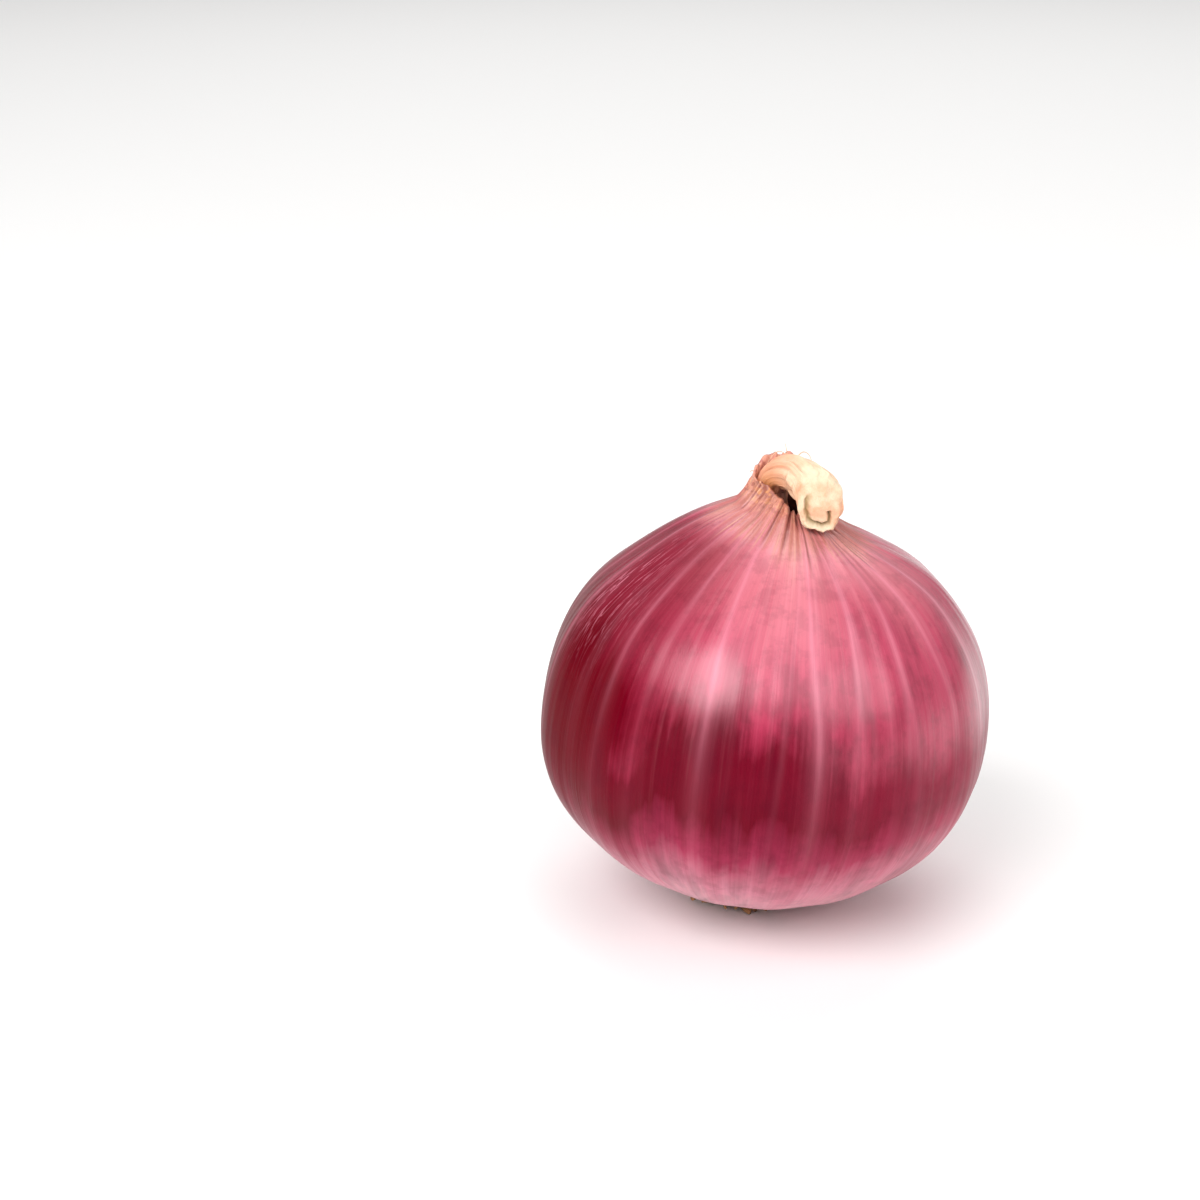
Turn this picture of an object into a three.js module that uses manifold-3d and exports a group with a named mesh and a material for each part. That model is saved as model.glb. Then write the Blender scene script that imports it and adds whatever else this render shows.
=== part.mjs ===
// A red onion standing on its trimmed roots: a ribbed bulb, a dry neck folded over to one side and a
// tuft of dried root stubs. Millimetres, +Z up, the origin on the floor in the middle of the flat foot.
import * as THREE from "three";
import { mergeVertices } from "three/addons/utils/BufferGeometryUtils.js";
import Module from "manifold-3d";

const { degToRad, smoothstep, lerp } = THREE.MathUtils;

// The whole onion leans towards +X; heights below are measured along its own axis from the floor
const LEAN = degToRad(4.3);

// Bulb: half widths and heights of the rings that its turned outline passes through
const BULB_RADIUS = 35;
const EQUATOR_HEIGHT = 29.2;
const ROOT_RING_RADIUS = 9;
const ROOT_RING_HEIGHT = 2.4;
const SHOULDER_RADIUS = 13;
const SHOULDER_HEIGHT = 62;
const COLLAR_RADIUS = 8.6;
const COLLAR_HEIGHT = 64.2;
const BULB_SEGMENTS = 84;
const CURVE_STEPS = 12;

// Handles of the outline's curves, as steps out and up from the ring that each belongs to
const ROOT_RING_HANDLE = { out: 11.5, up: 2.5 };
const BELOW_EQUATOR_HANDLE = { out: 0, up: -16.2 };
const ABOVE_EQUATOR_HANDLE = { out: 0, up: 16 };
const SHOULDER_HANDLE = { out: 15, up: -7.6 };
const COLLAR_HANDLE = { out: 1.4, up: -0.8 };

// Departures from a turned form: two slow lobes, the ribs over the veins and pleats drawn into the neck
const LOBES = [
  { count: 2, depth: 0.35, turn: 0.6 },
  { count: 3, depth: 0.25, turn: -1.1 },
];
const RIB_COUNT = 13;
const RIB_DEPTH = 0.18;
const RIB_WANDER = 0.9; // the ribs stand closer on one side than on the other
const PLEAT_COUNT = 19;
const PLEAT_DEPTH = 0.35;
const EQUATOR_TILT = 1; // the widest ring stands this much higher on +X and lower on -X
const COLLAR_SLANT = 1.6; // the collar stands this much higher on -X and lower on +X
const CROWN_SHIFT = 1.2; // the crown sits this much off the axis towards +X
const CROWN_START = 48;

// Lip of dry skin drawn in round the neck, with a torn edge: it stands tall behind the neck, flares on
// the -X side and closes in at the front
const LIP_RISE = { low: 2.2, high: 8 };
const LIP_BACK = degToRad(108);
const LIP_RADIUS = 4.6;
const LIP_FLARE = { depth: 2.6, at: degToRad(190) };
const LIP_PINCH = { depth: 1.4, at: degToRad(-75) };
const LIP_TEARS = 7;
const LIP_TEAR_DEPTH = 0.4;
const LIP_THICKNESS = 0.7;
const WELL_RADIUS = 5.6;
const WELL_FLOOR = 60.6;

// Hollow in the base that the root plate fills, with the gap left round it
const RECESS_RADIUS = 8;
const RECESS_CEILING = 4.8;
const GAP = 0.3;

// Dry neck: centres of its sections along the fold, in the leaning frame, with the half widths there
const NECK_STATIONS = [
  { x: -1.0, y: 0.6, z: WELL_FLOOR + 2 * GAP, across: 2.5, deep: 2.3 },
  { x: -1.2, y: 0.6, z: 63.8, across: 2.5, deep: 2.2 },
  { x: -1.8, y: 0.5, z: 66.0, across: 2.5, deep: 2.1 },
  { x: -2.0, y: 0.4, z: 68.2, across: 2.6, deep: 2.3 },
  { x: -1.0, y: 0.1, z: 69.9, across: 2.9, deep: 2.8 },
  { x: 1.4, y: -0.7, z: 70.5, across: 3.2, deep: 3.1 },
  { x: 3.7, y: -2.6, z: 69.8, across: 3.4, deep: 3.0 },
  { x: 4.9, y: -5.0, z: 68.5, across: 3.5, deep: 2.8 },
  { x: 5.3, y: -7.0, z: 67.4, across: 3.5, deep: 2.7 },
];
const NECK_STEPS = 28;
const NECK_SIDES = 26;
const NECK_HEADING = { foot: degToRad(-15), end: degToRad(-88) }; // the fold goes to +X, then forwards
const NECK_WRINKLES = [
  { count: 5, depth: 0.07, twist: 4 },
  { count: 9, depth: 0.05, twist: -6 },
];
const WRINKLE_GROWTH = { from: 0.1, to: 0.35 };
const WRINKLE_LOSS = { from: 0.7, share: 0.75 }; // the end is smoother again
const KINK_DEPTH = 0.2; // the inner side of the bend is pressed in by this share
const KINK_AT = 0.52;
const KINK_LENGTH = 0.17;
const KINK_WIDTH = 0.75;

// Cut end of the neck: a slanted face with a rounded rim, and a hooked groove round the rolled inner leaf
const END_START = 0.6; // the slant grows from this share of the neck to its end
const END_SLANT = 0.95;
const END_SHARES = [0.95, 0.85, 0.74, 0.64, 0.54, 0.4, 0.2];
const LOW_RIM = { rounding: 0.6, start: 0.8 };
const TOP_RIM = { rounding: 2, start: 0.2 };
const ROLL = { rise: 0.35, start: 0.62, full: 0.3 };
const GROOVE = { share: 0.64, depth: 1.2, width: 0.085 };
const GROOVE_START = { from: -2.8, to: -2 }; // angles round the section, from the lower side
const GROOVE_STOP = { from: 1.2, to: 1.75 };
const GROOVE_HOOK = { from: 0.3, to: 1.5, depth: 0.3 };

// Root plate and its stubs: an even spiral from the flat middle outwards, splayed more towards the rim
const PLATE_RADIUS = RECESS_RADIUS - 2 * GAP;
const PLATE_TOP = RECESS_CEILING - 2 * GAP;
const PLATE_SEGMENTS = 40;
const FOOT_RADIUS = 4.5;
const FOOT_SINK = 0.8; // what stands below the floor is cut off flat
const STUB_COUNT = 54;
const STUB_SIDES = 5;
const STUB_RADIUS = { least: 0.46, most: 0.68 };
const STUB_TAPER = 0.7;
const STUB_RING = { first: 4.6, last: 6.5 };
const STUB_ROOT_HEIGHT = 1.7;
const STUB_TIP_HEIGHT = { first: -0.6, last: 0.25 };
const STUB_REACH = { least: 3.4, most: 5.3 };
const STUB_STRAY = 0.5; // how far a stub turns from its even place, in radians
const STUB_SEED = 20;
const FLOOR_SIZE = 60;
const GOLDEN_ANGLE = Math.PI * (3 - Math.sqrt(5));

const wasm = await Module();
wasm.setup();

// Seeded random numbers from 0 to 1
function randomFrom(seed) {
  let state = seed;
  return () => {
    state = (state + 0x6d2b79f5) | 0;
    let mixed = Math.imul(state ^ (state >>> 15), 1 | state);
    mixed = (mixed + Math.imul(mixed ^ (mixed >>> 7), 61 | mixed)) ^ mixed;
    return ((mixed ^ (mixed >>> 14)) >>> 0) / 4294967296;
  };
}

// A closed geometry as a solid that can be joined and cut
function solidOf(geometry) {
  const bare = new THREE.BufferGeometry();
  bare.setAttribute("position", geometry.getAttribute("position"));
  bare.setIndex(geometry.index);
  const merged = mergeVertices(bare, 1e-4);
  const vertProperties = merged.attributes.position.array;
  const triVerts = new Uint32Array(merged.index.array);
  return new wasm.Manifold(new wasm.Mesh({ numProp: 3, vertProperties, triVerts }));
}

// A solid back as a geometry
function geometryOf(solid) {
  const mesh = solid.getMesh();
  const geometry = new THREE.BufferGeometry();
  geometry.setAttribute("position", new THREE.BufferAttribute(mesh.vertProperties, 3));
  geometry.setIndex(new THREE.BufferAttribute(mesh.triVerts, 1));
  geometry.computeVertexNormals();
  return geometry;
}

// A closed skin over rings of points, listed from below with each ring anticlockwise seen from its end
function loft(rings) {
  const sides = rings[0].length;
  const points = rings.flat();
  const triangles = [];
  for (let ring = 0; ring < rings.length - 1; ring++) {
    for (let side = 0; side < sides; side++) {
      const next = (side + 1) % sides;
      const a = ring * sides + side;
      const b = ring * sides + next;
      triangles.push(a, b, a + sides, b, b + sides, a + sides);
    }
  }
  for (const [ring, turned] of [[0, true], [rings.length - 1, false]]) {
    const middle = new THREE.Vector3();
    rings[ring].forEach((point) => middle.addScaledVector(point, 1 / sides));
    points.push(middle);
    const hub = points.length - 1;
    for (let side = 0; side < sides; side++) {
      const a = ring * sides + side;
      const b = ring * sides + ((side + 1) % sides);
      triangles.push(...(turned ? [b, a, hub] : [a, b, hub]));
    }
  }
  const geometry = new THREE.BufferGeometry().setFromPoints(points);
  geometry.setIndex(triangles);
  geometry.computeVertexNormals();
  return geometry;
}

// Outline of the outer skin from the root ring over the widest ring to the collar
function skinOutline() {
  const ring = (radius, height, handle = { out: 0, up: 0 }) => [radius + handle.out, height + handle.up];
  const skin = new THREE.Path();
  skin.moveTo(...ring(ROOT_RING_RADIUS, ROOT_RING_HEIGHT));
  skin.bezierCurveTo(
    ...ring(ROOT_RING_RADIUS, ROOT_RING_HEIGHT, ROOT_RING_HANDLE),
    ...ring(BULB_RADIUS, EQUATOR_HEIGHT, BELOW_EQUATOR_HANDLE),
    ...ring(BULB_RADIUS, EQUATOR_HEIGHT),
  );
  skin.bezierCurveTo(
    ...ring(BULB_RADIUS, EQUATOR_HEIGHT, ABOVE_EQUATOR_HANDLE),
    ...ring(SHOULDER_RADIUS, SHOULDER_HEIGHT, SHOULDER_HANDLE),
    ...ring(SHOULDER_RADIUS, SHOULDER_HEIGHT),
  );
  skin.quadraticCurveTo(
    ...ring(COLLAR_RADIUS, COLLAR_HEIGHT, COLLAR_HANDLE),
    ...ring(COLLAR_RADIUS, COLLAR_HEIGHT),
  );
  return skin.getPoints(CURVE_STEPS);
}

// One at the middle angle, falling smoothly to nothing on the far side
function facing(angle, middle, sharpness) {
  return (0.5 + 0.5 * Math.cos(angle - middle)) ** sharpness;
}

// Crest of the dry lip at an angle round the crown: its radius and its rise above the collar
function lipCrest(angle) {
  const toBack = facing(angle, LIP_BACK, 3);
  const tear = LIP_TEAR_DEPTH * Math.cos(LIP_TEARS * angle + 1) * toBack;
  const flare = LIP_FLARE.depth * facing(angle, LIP_FLARE.at, 3);
  const pinch = LIP_PINCH.depth * facing(angle, LIP_PINCH.at, 2);
  return {
    radius: LIP_RADIUS + flare - pinch,
    rise: lerp(LIP_RISE.low, LIP_RISE.high, toBack) + tear,
  };
}

// How far a pleat of the gathered skin stands out at an angle round the crown
function pleat(angle) {
  return PLEAT_DEPTH * Math.cos(PLEAT_COUNT * angle + RIB_WANDER * Math.sin(2 * angle));
}

// How far the skin stands out of its turned outline at an angle round the axis and a height
function skinRelief(angle, radius, height) {
  let relief = RIB_DEPTH * Math.cos(RIB_COUNT * angle + RIB_WANDER * Math.sin(angle));
  for (const lobe of LOBES) relief += lobe.depth * Math.cos(lobe.count * angle + lobe.turn);
  const nearNeck = smoothstep(height, SHOULDER_HEIGHT - 5, COLLAR_HEIGHT);
  return relief * smoothstep(radius, ROOT_RING_RADIUS, 2 * ROOT_RING_RADIUS) + pleat(angle) * nearNeck;
}

// The bulb is turned from its outline, then each point of the skin is moved by the relief and the tilts
function bulbGeometry() {
  const base = [new THREE.Vector2(0, RECESS_CEILING), new THREE.Vector2(RECESS_RADIUS, RECESS_CEILING)];
  const skin = skinOutline();
  const lip = [{ share: 0.5 }, { share: 1 }, { share: 1, inner: true }];
  const well = [new THREE.Vector2(WELL_RADIUS, WELL_FLOOR), new THREE.Vector2(0, WELL_FLOOR)];
  const collar = skin.at(-1);
  const outline = [...base, ...skin, ...lip.map(() => collar.clone()), ...well];
  const firstLip = base.length + skin.length;
  const geometry = new THREE.LatheGeometry(outline, BULB_SEGMENTS).rotateX(Math.PI / 2);
  const points = geometry.getAttribute("position");
  for (let i = 0; i < points.count; i++) {
    const row = i % outline.length;
    const column = Math.floor(i / outline.length) % BULB_SEGMENTS;
    const angle = (column / BULB_SEGMENTS) * 2 * Math.PI;
    let { x: radius, y: height } = outline[row];
    const onSkin = row >= base.length && row < firstLip;
    const edge = lip[row - firstLip];
    const tilt = EQUATOR_TILT * (radius / BULB_RADIUS) * Math.sin((Math.PI * height) / COLLAR_HEIGHT);
    const slant = COLLAR_SLANT * smoothstep(height, SHOULDER_HEIGHT - 8, COLLAR_HEIGHT);
    const shift = CROWN_SHIFT * smoothstep(height, CROWN_START, COLLAR_HEIGHT);
    if (onSkin || edge) height += Math.cos(angle) * (tilt - slant);
    if (onSkin) radius += skinRelief(angle, radius, outline[row].y);
    if (edge) {
      const crest = lipCrest(angle);
      radius = lerp(radius + pleat(angle), crest.radius, edge.share) - (edge.inner ? LIP_THICKNESS : 0);
      height += crest.rise * edge.share;
    }
    points.setXYZ(i, shift + radius * Math.cos(angle), radius * Math.sin(angle), height);
  }
  const bulb = new THREE.BufferGeometry().setAttribute("position", points).setIndex(geometry.index);
  const closed = mergeVertices(bulb);
  closed.computeVertexNormals();
  return closed;
}

// One place along the neck: its centre, half widths and the directions along, across and into the bend
function neckPlace(along) {
  const centres = new THREE.CatmullRomCurve3(NECK_STATIONS.map((s) => new THREE.Vector3(s.x, s.y, s.z)));
  const widths = new THREE.SplineCurve(NECK_STATIONS.map((s) => new THREE.Vector2(s.across, s.deep)));
  const forward = centres.getTangent(along);
  const heading = lerp(NECK_HEADING.foot, NECK_HEADING.end, along);
  const level = new THREE.Vector3(-Math.sin(heading), Math.cos(heading), 0);
  const inward = new THREE.Vector3().crossVectors(level, forward).normalize();
  const sideways = new THREE.Vector3().crossVectors(forward, inward);
  const { x: across, y: deep } = widths.getPoint(along);
  return { centre: centres.getPoint(along), forward, inward, sideways, across, deep };
}

// How far the cut end lies back at a share of its section: rounded rim, rolled leaf and hooked groove,
// which runs along the -X side, below and up part of the +X side, where it turns inwards
function endDepth(round, share) {
  const top = facing(round, Math.PI, 2);
  const rounding = lerp(LOW_RIM.rounding, TOP_RIM.rounding, top);
  const rim = rounding * smoothstep(share, lerp(LOW_RIM.start, TOP_RIM.start, top), 1) ** 2;
  const roll = ROLL.rise * (1 - smoothstep(share, ROLL.full, ROLL.start));
  const hook = GROOVE_HOOK.depth * smoothstep(round, GROOVE_HOOK.from, GROOVE_HOOK.to);
  const begun = smoothstep(round, GROOVE_START.from, GROOVE_START.to);
  const left = 1 - smoothstep(round, GROOVE_STOP.from, GROOVE_STOP.to);
  const fromGroove = (share - GROOVE.share + hook) / GROOVE.width;
  return rim - roll + GROOVE.depth * begun * left * Math.exp(-fromGroove * fromGroove);
}

// A point on the neck: round is 0 on the inner side of the bend, and share scales the section
function neckPoint(place, along, round, share) {
  const grown = smoothstep(along, WRINKLE_GROWTH.from, WRINKLE_GROWTH.to);
  const wrinkled = grown * (1 - WRINKLE_LOSS.share * smoothstep(along, WRINKLE_LOSS.from, 1));
  let wrinkle = 1;
  for (const { count, depth, twist } of NECK_WRINKLES) {
    wrinkle += depth * Math.cos(count * round + twist * along) * wrinkled;
  }
  const fromInside = round / KINK_WIDTH;
  const fromKink = (along - KINK_AT) / KINK_LENGTH;
  const kink = 1 - KINK_DEPTH * Math.exp(-fromInside * fromInside - fromKink * fromKink);
  const reach = share * wrinkle * kink;
  const inwards = place.deep * reach * Math.cos(round);
  const atEnd = smoothstep(along, END_START, 1);
  return place.centre
    .clone()
    .addScaledVector(place.inward, inwards)
    .addScaledVector(place.sideways, place.across * reach * Math.sin(round))
    .addScaledVector(place.forward, atEnd * (END_SLANT * inwards - endDepth(round, share)));
}

// The neck follows its stations and ends in the slanted cut
function neckGeometry() {
  const ringAt = (along, share = 1) => {
    const place = neckPlace(along);
    return Array.from({ length: NECK_SIDES }, (_, side) =>
      neckPoint(place, along, (side / NECK_SIDES - 0.5) * 2 * Math.PI, share),
    );
  };
  const rings = Array.from({ length: NECK_STEPS + 1 }, (_, step) => ringAt(step / NECK_STEPS));
  return loft([...rings, ...END_SHARES.map((share) => ringAt(1, share))]);
}

// The root plate fills the hollow of the base and stands on the flat foot in its middle
function plateGeometry() {
  const outline = [
    [0, -FOOT_SINK],
    [FOOT_RADIUS, -FOOT_SINK],
    [FOOT_RADIUS, 0.5 * STUB_ROOT_HEIGHT],
    [PLATE_RADIUS - 0.5, 0.8 * STUB_ROOT_HEIGHT],
    [PLATE_RADIUS, ROOT_RING_HEIGHT + GAP],
    [PLATE_RADIUS - GAP, PLATE_TOP],
    [0, PLATE_TOP],
  ];
  const points = outline.map(([radius, height]) => new THREE.Vector2(radius, height));
  return new THREE.LatheGeometry(points, PLATE_SEGMENTS).rotateX(Math.PI / 2).rotateY(LEAN);
}

// One root stub: a few-sided tapered peg between two points
function stubGeometry(from, to, radius) {
  const along = to.clone().sub(from);
  const stub = new THREE.CylinderGeometry(STUB_TAPER * radius, radius, along.length(), STUB_SIDES);
  const turn = new THREE.Quaternion();
  turn.setFromUnitVectors(new THREE.Vector3(0, 1, 0), along.normalize());
  const middle = from.clone().lerp(to, 0.5);
  return stub.applyQuaternion(turn).translate(middle.x, middle.y, middle.z);
}

// The stubs grow out of the plate's underside, splay over the floor and are cut off level with it
function rootGeometry() {
  const polar = (radius, angle, height) =>
    new THREE.Vector3(radius * Math.cos(angle), radius * Math.sin(angle), height);
  const random = randomFrom(STUB_SEED);
  const between = ({ least, most }) => lerp(least, most, random());
  let roots = solidOf(plateGeometry());
  for (let i = 0; i < STUB_COUNT; i++) {
    const share = Math.sqrt((i + 0.5) / STUB_COUNT);
    const angle = i * GOLDEN_ANGLE + STUB_STRAY * (random() - 0.5);
    const start = lerp(STUB_RING.first, STUB_RING.last, share);
    const tip = start + share * share * between(STUB_REACH);
    const tipAngle = angle + STUB_STRAY * (random() - 0.5);
    const from = polar(start, angle, STUB_ROOT_HEIGHT).applyAxisAngle(new THREE.Vector3(0, 1, 0), LEAN);
    const to = polar(tip, tipAngle, lerp(STUB_TIP_HEIGHT.first, STUB_TIP_HEIGHT.last, share));
    roots = roots.add(solidOf(stubGeometry(from, to, between(STUB_RADIUS))));
  }
  const below = new THREE.BoxGeometry(FLOOR_SIZE, FLOOR_SIZE, FLOOR_SIZE);
  return geometryOf(roots.subtract(solidOf(below.translate(0, 0, -FLOOR_SIZE / 2))));
}

// One named sub-part with its own colour and finish
function piece(name, geometry, color, roughness) {
  const material = new THREE.MeshStandardMaterial({ color, roughness, metalness: 0 });
  const mesh = new THREE.Mesh(geometry, material);
  mesh.name = name;
  return mesh;
}

const leaning = new THREE.Group();
leaning.rotation.y = LEAN;
leaning.add(piece("bulb", bulbGeometry(), 0x9c1c3a, 0.4));
leaning.add(piece("dry_neck", neckGeometry(), 0xdcb98e, 0.8));

const onion = new THREE.Group();
onion.add(leaning);
onion.add(piece("root_tuft", rootGeometry(), 0xb08a54, 0.9));

export default onion;
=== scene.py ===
"""A red onion on a pale floor: veined crimson skin, a dry folded neck and a trimmed root tuft."""
import math

import bpy
import numpy as np
from mathutils import Matrix, Vector


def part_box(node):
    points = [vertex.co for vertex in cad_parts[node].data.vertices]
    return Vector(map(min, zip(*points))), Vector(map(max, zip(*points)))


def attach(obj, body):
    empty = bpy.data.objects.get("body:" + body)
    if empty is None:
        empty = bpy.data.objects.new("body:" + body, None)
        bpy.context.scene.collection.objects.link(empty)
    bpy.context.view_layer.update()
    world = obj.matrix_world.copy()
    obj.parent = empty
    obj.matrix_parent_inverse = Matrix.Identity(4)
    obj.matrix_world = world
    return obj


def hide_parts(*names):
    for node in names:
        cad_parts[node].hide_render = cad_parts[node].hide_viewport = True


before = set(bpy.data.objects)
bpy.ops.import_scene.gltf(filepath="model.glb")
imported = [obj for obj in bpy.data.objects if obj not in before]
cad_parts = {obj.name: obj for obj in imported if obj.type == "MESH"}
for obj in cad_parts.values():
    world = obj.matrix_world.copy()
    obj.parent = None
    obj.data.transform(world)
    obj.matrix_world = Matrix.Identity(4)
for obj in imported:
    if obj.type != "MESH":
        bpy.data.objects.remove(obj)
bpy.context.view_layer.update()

# Sizes below are in millimetres along the onion's own axis; MM turns them into the frame's metres
BULB_BOX_WIDTH = 70.72
bulb_low, bulb_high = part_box("bulb")
MM = (bulb_high.x - bulb_low.x) / BULB_BOX_WIDTH
LEAN = math.radians(4.3)

# Bulb: rings that its outline passes through, as radius and height, and the handles of its curves
ROOT_RING = np.array([9.0, 2.4])
EQUATOR = np.array([35.0, 29.2])
SHOULDER = np.array([13.0, 62.0])
COLLAR = np.array([8.6, 64.2])
ROOT_RING_HANDLE = np.array([11.5, 2.5])
BELOW_EQUATOR_HANDLE = np.array([0.0, -16.2])
ABOVE_EQUATOR_HANDLE = np.array([0.0, 16.0])
SHOULDER_HANDLE = np.array([15.0, -7.6])
COLLAR_HANDLE = np.array([1.4, -0.8])
BULB_COLUMNS = 660
SKIN_ROWS = 118
LIP_ROWS = 22
WELL_ROWS = 6
OUTLINE_STEPS = 400

# Departures of the skin from a turned form; a ripple is a seed, a range of crests around and turns along
LOBES = ((2, 0.35, 0.6), (3, 0.25, -1.1))
RIB_COUNT = 13
RIB_DEPTH = 0.18
RIB_WANDER = 0.9
PLEAT_COUNT = 19
PLEAT_DEPTH = 0.35
PLEAT_REACH = 5.0
EVEN_PLEATS = 0.7
EQUATOR_TILT = 1.0
COLLAR_SLANT = 1.6
SLANT_REACH = 8.0
CROWN_SHIFT = 1.2
CROWN_START = 48.0
FINE_RIDGE_DEPTH = 0.014
FINE_RIDGES = (3, (36, 90), 0.6)
CREASE_SEED = 5
CREASE_COUNT = 44
CREASE_DEPTH = 0.22
CREASE_WIDTH = math.radians(1.1)
CREASE_STARTS = (59.5, 63.2)
CREASE_RUN = 3.0
# Share of crease brown on the skin: partly the dry skin's brown, partly painted shade in the folds
CREASE_TINT = 0.7
FINE_PLEAT_DEPTH = 0.1
FINE_PLEATS = (6, (30, 70), 0)

# Dry lip round the neck: it stands tall behind, flares on the left and closes in at the front
LIP_LOW_RISE, LIP_HIGH_RISE = 2.2, 8.0
LIP_BACK = math.radians(108)
LIP_RADIUS = 4.6
LIP_FLARE, LIP_FLARE_AT = 2.35, math.radians(190)
LIP_PINCH, LIP_PINCH_AT = 1.4, math.radians(-75)
LIP_CURL, LIP_CURL_IN, LIP_CURL_AT = 1.3, 0.6, math.radians(-142)
LIP_DIP, LIP_DIP_AT = 0.8, math.radians(-84)
LIP_TEARS = 7
LIP_TEAR_DEPTH = 0.4
LIP_RAG_DEPTH = 0.2
LIP_RAGS = (31, (5, 30), 0)
LIP_THICKNESS = 0.4
LIP_BEND = 0.7
LIP_STEEPNESS = (0.6, 1.8)
LIP_STREAK = 0.1

# Well that the neck stands in
WELL_RADIUS = 5.6
WELL_FLOOR = 60.6

# Hollow in the base over the root plate
RECESS_RADIUS = 8.0
RECESS_CEILING = 4.8
RECESS_EDGE = 0.6

# How dry the skin looks: in the base, at the collar, and the rise at which the lip is driest
BASE_DRYNESS = 0.6
COLLAR_DRYNESS = 0.7
DRIEST_LIP = 3.2

# Pale veins on the side seen first: longitude in degrees, strength; the others follow a seeded rule
FRONT_VEINS = ((-137, 0.6), (-124, 0.5), (-106, 0.9), (-78, 1.0), (-66, 0.5), (-49, 0.55), (-33, 1.0))
BACK_VEIN_START, BACK_VEIN_END, BACK_VEIN_STEP = -15, 212, 16
BACK_VEIN_SCATTER = 5
VEIN_SEED = 11
VEIN_WIDTH = math.radians(0.9)
VEIN_HALO = math.radians(2.8)
VEIN_CRISP_FROM = (0.45, 0.7)
SOFT_CORE, CRISP_CORE_GAIN = 0.12, 0.5
SOFT_HALO, CRISP_HALO_LOSS = 0.42, 0.14
VEIN_DRIFT = math.radians(9)
VEIN_WAVER, MINOR_VEIN_WAVER = 0.02, 0.015
VEIN_WAVES = 1.5
MINOR_VEINS = 110
MINOR_VEIN_FADE = 0.2

# Painted light and shade on the skin's colour scale: the side painted in shade, where the dark belt climbs
# towards the crown; the side painted lighter and rosier; the front left paler above the belt as painted
# sheen; two front places where the belt is painted darker; and the base painted paler as a reflection of
# the floor
SHADED_SIDE = math.radians(194)
SHADED_SIDE_LIFT = 0.1
SHADED_SIDE_SPREAD = (math.radians(46), math.radians(66))
SHADED_SIDE_EDGE = math.radians(38)
LIT_SIDE, LIT_SIDE_STRENGTH = math.radians(-15), 0.35
# Painted sheen: the front stays paler above the belt while the sides darken
PALE_FRONT, PALE_FRONT_LIFT = math.radians(-88), 0.07
# Painted reflection of the floor: the base stays paler towards the front right
PALE_BASE, PALE_BASE_DROP = math.radians(-35), 0.08
# The belt, partly painted shade, reaches higher and darker at two front places
HIGH_BELT = ((math.radians(-91), 0.06), (math.radians(-136), 0.05))
HIGH_BELT_SHARPNESS = 40

# Scuffed, crinkled patch of skin on the upper left
SCUFF_ANGLE = math.radians(-160)
SCUFF_HEIGHT = 53.0
SCUFF_SPREAD = (math.radians(14), 7.0)
SCUFF_DEPTH = 0.02
SCUFF_CRINKLES = (8, (30, 90), 12)

# Dry neck: centre of each section in the leaning frame, with its half widths across and into the bend
NECK_STATIONS = np.array([
    (-1.0, 0.6, 61.2, 2.5, 2.3),
    (-1.2, 0.6, 63.8, 2.5, 2.2),
    (-1.8, 0.5, 66.0, 2.5, 2.1),
    (-2.0, 0.4, 68.2, 2.6, 2.3),
    (-1.0, 0.1, 69.9, 2.9, 2.8),
    (1.4, -0.7, 70.5, 3.2, 3.1),
    (3.7, -2.6, 69.8, 3.4, 3.0),
    (4.9, -5.0, 68.5, 3.5, 2.8),
    (5.3, -7.0, 67.4, 3.5, 2.7),
])
NECK_ROWS = 170
NECK_COLUMNS = 180
NECK_HEADING = (math.radians(-15), math.radians(-88))
NECK_STEP = 0.004
NECK_WRINKLES = ((5, 0.07, 4.0), (9, 0.05, -6.0))
NECK_RIPPLES = ((0.02, (17, (9, 28), 1.2)), (0.008, (19, (26, 52), 1.6)), (0.02, (18, (2, 7), 4.0)))
WRINKLE_START, WRINKLE_END = (0.1, 0.35), (0.7, 1.0)
WRINKLE_EASE = 0.55
CALM_BEND = (0.7, 0.3)
KINK_DEPTH = 0.28
KINK_AT = 0.52
KINK_LENGTH = 0.17
KINK_WIDTH = 0.75
BEND_REACH = 0.7
END_SLANT = 0.95
END_REACH = (0.6, 1.0)
MOUTH_ROWS = 44
MOUTH_MIDDLE = 0.02
MOUTH_ROUNDING = 0.6
TOP_ROUNDING = 1.4
RIM_START, TOP_RIM_WIDENING = 0.8, 0.6
GROOVE_DEPTH = 0.9
GROOVE_WIDTH = 0.1
GROOVE_MIDDLE = 0.64
GROOVE_HOOK = 0.3
HOOK_TURNS = (0.3, 1.5)
GROOVE_START, GROOVE_END = (-2.8, -2.0), (1.2, 1.75)
ROLL_HEIGHT = 0.35
ROLL_EDGE = (0.62, 0.3)
FURROW_DEPTH, FURROW_WIDTH = 0.035, 0.3
FURROWS = (21, (3, 12), 2.0)
# Painted shade: share of dark colour in the neck's kink and furrows and in the cut end's groove
NECK_CREASE_SHADE, GROOVE_SHADE = 0.6, 0.8
TIP_PALENESS = 0.07
FOOT_TINT, FOOT_SHADE, FOOT_SHADE_AT = 0.85, 0.8, -0.2

# Amber stain where the neck leaves the lip on the left
STAIN_AT = np.array([-3.0, -2.6, 68.4])
STAIN_SPREAD = 2.4
STAIN_STRENGTH = 0.9

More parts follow.
